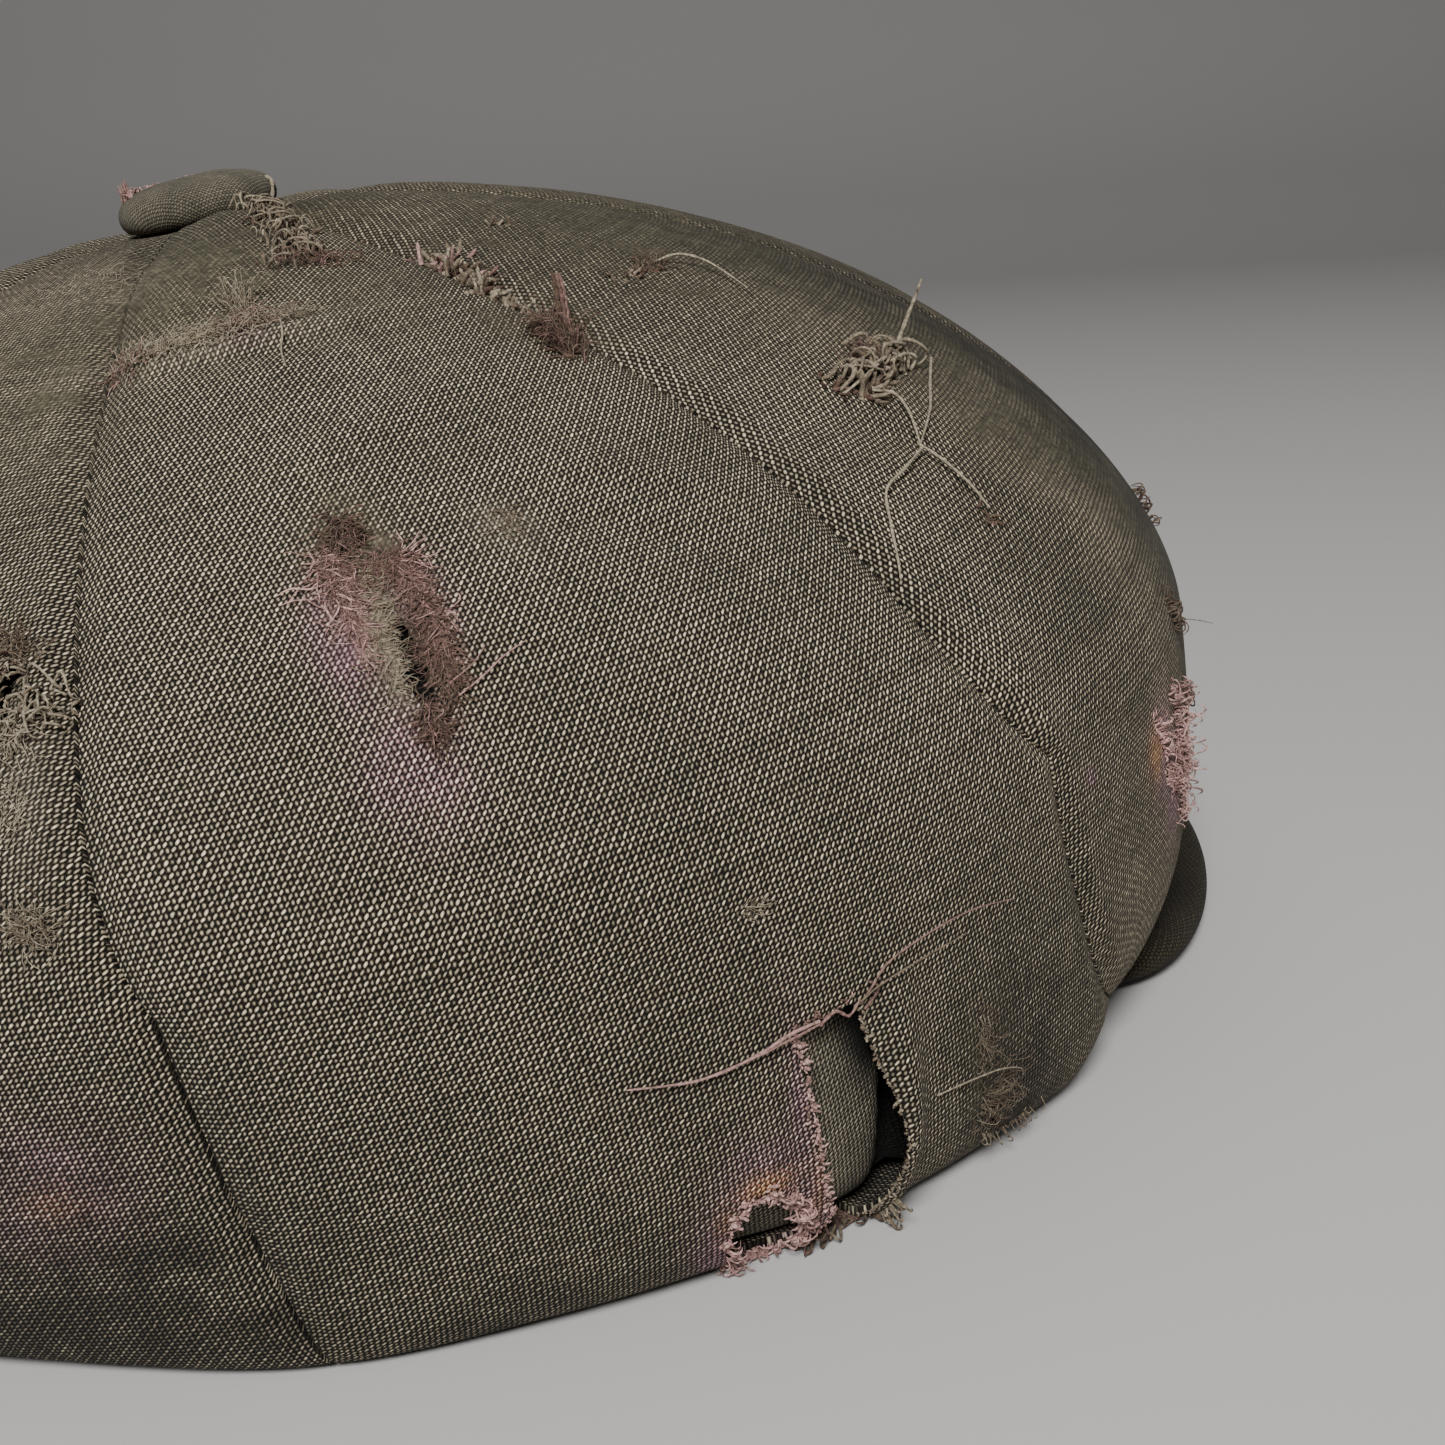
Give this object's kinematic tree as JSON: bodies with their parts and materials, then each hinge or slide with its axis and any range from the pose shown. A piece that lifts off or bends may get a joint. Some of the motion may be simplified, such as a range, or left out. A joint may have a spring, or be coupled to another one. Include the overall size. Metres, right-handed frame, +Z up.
{
  "type": "eight-panel cloth cap",
  "caption": "Soft round cloth cap of wedge panels with a covered top button, headband, leather sweatband and a stiffened peak.",
  "frame": {"origin": "middle of the base of the whole cap's bounding box, on the plane of the headband's lower edge", "axes": "+X towards the peak, +Z up through the crown, +Y to the wearer's left"},
  "size_m": [0.2682, 0.258, 0.1195],
  "materials": {
    "crown_cloth": "coarse plain weave, worn",
    "lining_cloth": "plain woven lining",
    "band_cloth": "coarse plain weave",
    "sweat_leather": "worn leather",
    "peak_cloth": "coarse plain weave",
    "peak_board": "pressed board",
    "button_cloth": "plain weave, worn smooth",
    "button_metal": "dull",
    "thread": "waxed thread"
  },
  "bodies": {
    "cap": {"crown_panel_1": "crown_cloth", "crown_panel_2": "crown_cloth", "crown_panel_3": "crown_cloth", "crown_panel_4": "crown_cloth", "crown_panel_5": "crown_cloth", "crown_panel_6": "crown_cloth", "crown_panel_7": "crown_cloth", "crown_panel_8": "crown_cloth", "lining_panel_1": "lining_cloth", "lining_panel_2": "lining_cloth", "lining_panel_3": "lining_cloth", "lining_panel_4": "lining_cloth", "lining_panel_5": "lining_cloth", "lining_panel_6": "lining_cloth", "lining_panel_7": "lining_cloth", "lining_panel_8": "lining_cloth", "crown_patch": "lining_cloth", "headband": "band_cloth", "sweatband": "sweat_leather"},
    "peak": {"peak_under_cover": "peak_cloth", "peak_board": "peak_board", "peak_top_cover": "peak_cloth"},
    "strand": {"button_thread": "thread"},
    "button": {"button_cover": "button_cloth", "button_shell": "button_metal", "button_back": "button_metal", "button_shank": "button_metal"}
  },
  "joints": [
    {"name": "peak_flex", "type": "hinge", "parent": "cap", "child": "peak", "pos_m": [0.07247, -0.0009, 0.002], "axis": [0, 1, 0], "range_deg": [-1.5, 8], "stiffness_Nm_per_rad": 0.8},
    {"name": "button_turn", "type": "hinge", "parent": "cap", "child": "strand", "pos_m": [-0.01943, 0.00742, 0.11239], "axis": [-0.1561, 0, 0.9877], "range_deg": [-25, 25], "stiffness_Nm_per_rad": 0.0008},
    {"name": "button_rock", "type": "hinge", "parent": "strand", "child": "button", "pos_m": [-0.01952, 0.00742, 0.11298], "axis": [0, 1, 0], "range_deg": [-3.5, 3.5], "stiffness_Nm_per_rad": 0.002}
  ]
}
